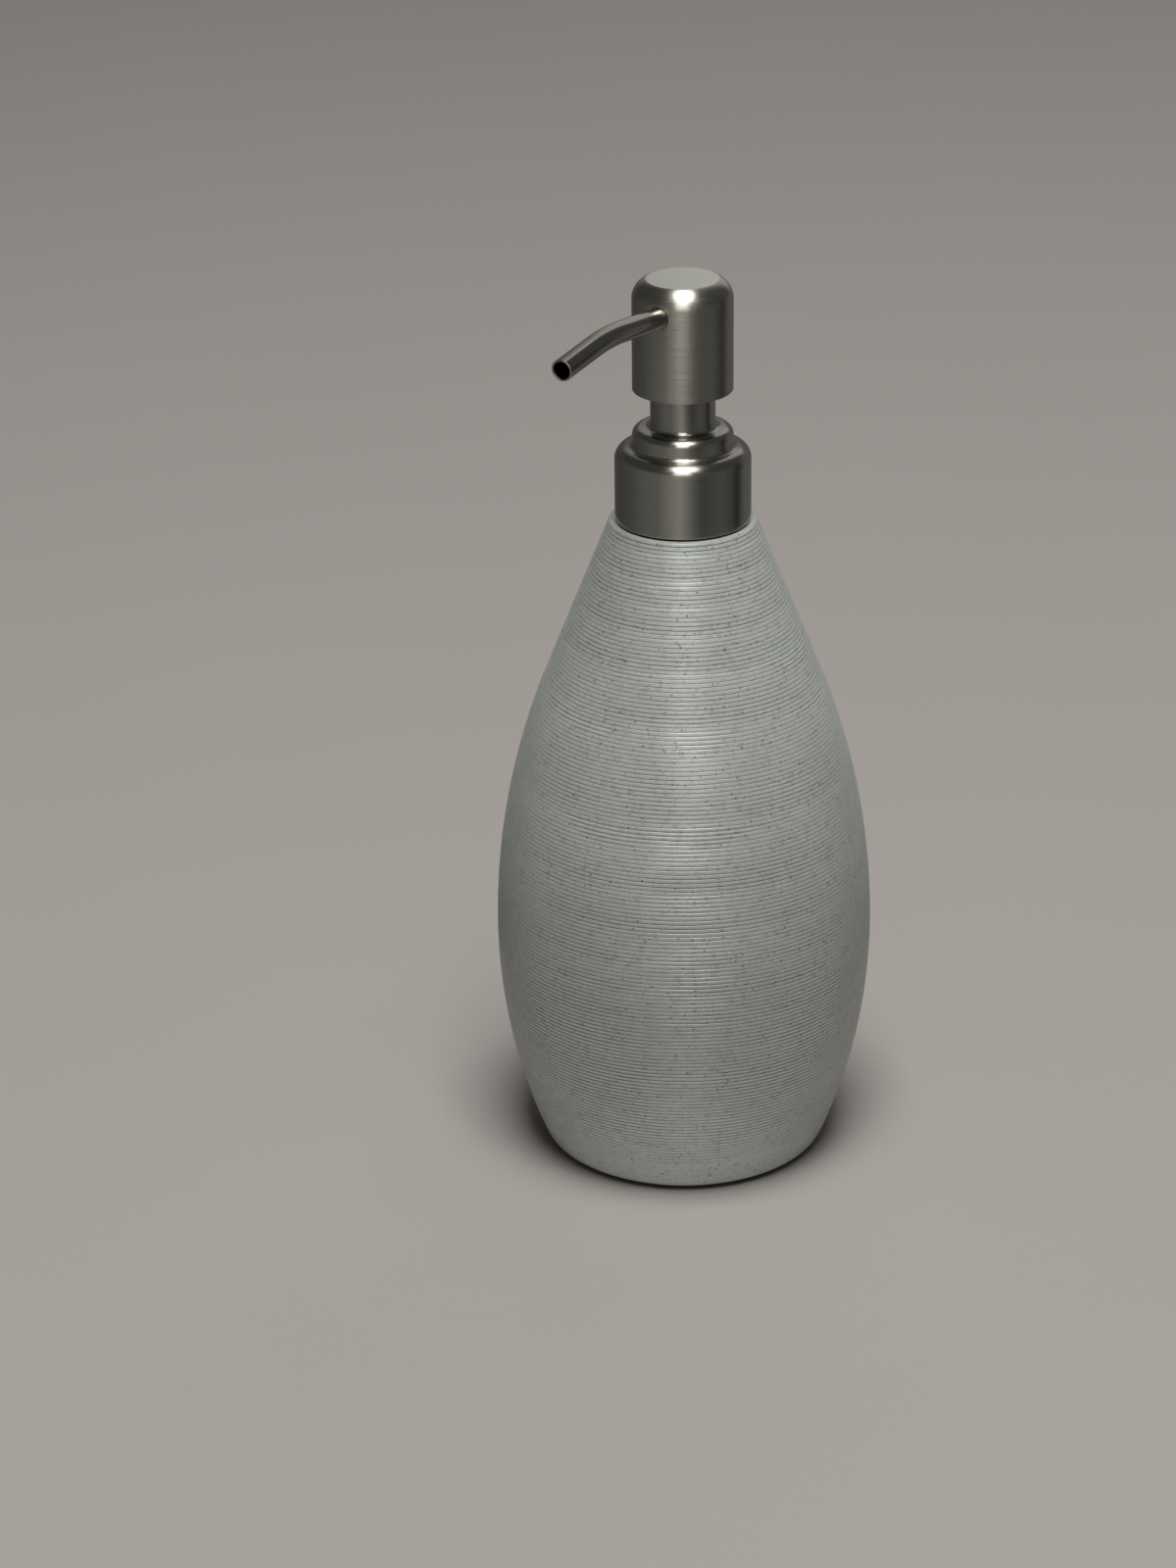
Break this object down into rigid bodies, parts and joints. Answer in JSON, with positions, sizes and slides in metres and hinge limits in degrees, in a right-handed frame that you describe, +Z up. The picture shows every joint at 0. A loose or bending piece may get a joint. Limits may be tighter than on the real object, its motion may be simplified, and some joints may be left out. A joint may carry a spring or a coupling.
{
  "type": "soap dispenser",
  "caption": "Teardrop countertop bottle in a finely grooved cast composite, with a steel lotion pump: stepped collar, cup-shaped press head and a thin bent spout.",
  "frame": {"origin": "centre of the base pad's underside, on the bottle's axis", "axes": "+Z up along the bottle's axis, -Y towards the spout's tip, +X to the right seen from the spout's side"},
  "size_m": [0.0898, 0.099, 0.2167],
  "materials": {
    "stone": "matt grey cast composite, finely grooved",
    "foam": "dense black foam pad",
    "brushed_steel": "dark stainless, satin brushed round the axis",
    "polished_steel": "dark stainless, finely turned and polished",
    "natural_plastic": "natural moulded polypropylene",
    "grey_plastic": "dark grey moulded polypropylene",
    "milky_plastic": "milky extruded polyethylene",
    "white_rubber": "soft white moulded seal",
    "spring_steel": "bright drawn spring wire"
  },
  "bodies": {
    "bottle_body": {"bottle": "stone", "neck_insert": "grey_plastic", "base_pad": "foam"},
    "pump_body": {"pump_cylinder": "natural_plastic", "neck_gasket": "white_rubber", "stem_guide": "natural_plastic", "ball_cage": "natural_plastic", "return_spring": "spring_steel", "dip_tube": "milky_plastic"},
    "closure": {"collar_cover": "polished_steel", "threaded_cap": "grey_plastic", "chimney_bush": "grey_plastic"},
    "plunger": {"stem_tube": "natural_plastic", "stem_plug": "natural_plastic"},
    "piston": {"piston_seal": "white_rubber"},
    "actuator": {"head_cover": "brushed_steel", "head_core": "grey_plastic", "spout_tube": "brushed_steel", "spout_seal": "white_rubber"},
    "inlet_ball": {"check_ball": "polished_steel"}
  },
  "joints": [
    {"name": "pump_rise", "type": "slide", "parent": "bottle_body", "child": "pump_body", "axis": [0, 0, 1], "range_m": [0, 0.00635]},
    {"name": "collar_turn", "type": "hinge", "parent": "pump_body", "child": "closure", "pos_m": [0, 0, 0.1597], "axis": [0, 0, 1], "range_deg": [0, 540]},
    {"name": "head_press", "type": "slide", "parent": "pump_body", "child": "plunger", "axis": [0, 0, -1], "range_m": [0, 0.0085], "stiffness_N_per_m": 700, "springref_m": -0.008, "deforming": ["return_spring"]},
    {"name": "head_swivel", "type": "hinge", "parent": "plunger", "child": "actuator", "pos_m": [0, 0, 0.1907], "axis": [0, 0, 1], "continuous": true},
    {"name": "seal_slip", "type": "slide", "parent": "plunger", "child": "piston", "axis": [0, 0, 1], "range_m": [0, 0.0012]},
    {"name": "ball_lift", "type": "slide", "parent": "pump_body", "child": "inlet_ball", "axis": [0, 0, 1], "range_m": [0, 0.0015]}
  ],
  "couplings": [
    {"joint": "pump_rise", "follows": "collar_turn", "m_per_rad": 0.00067373}
  ]
}
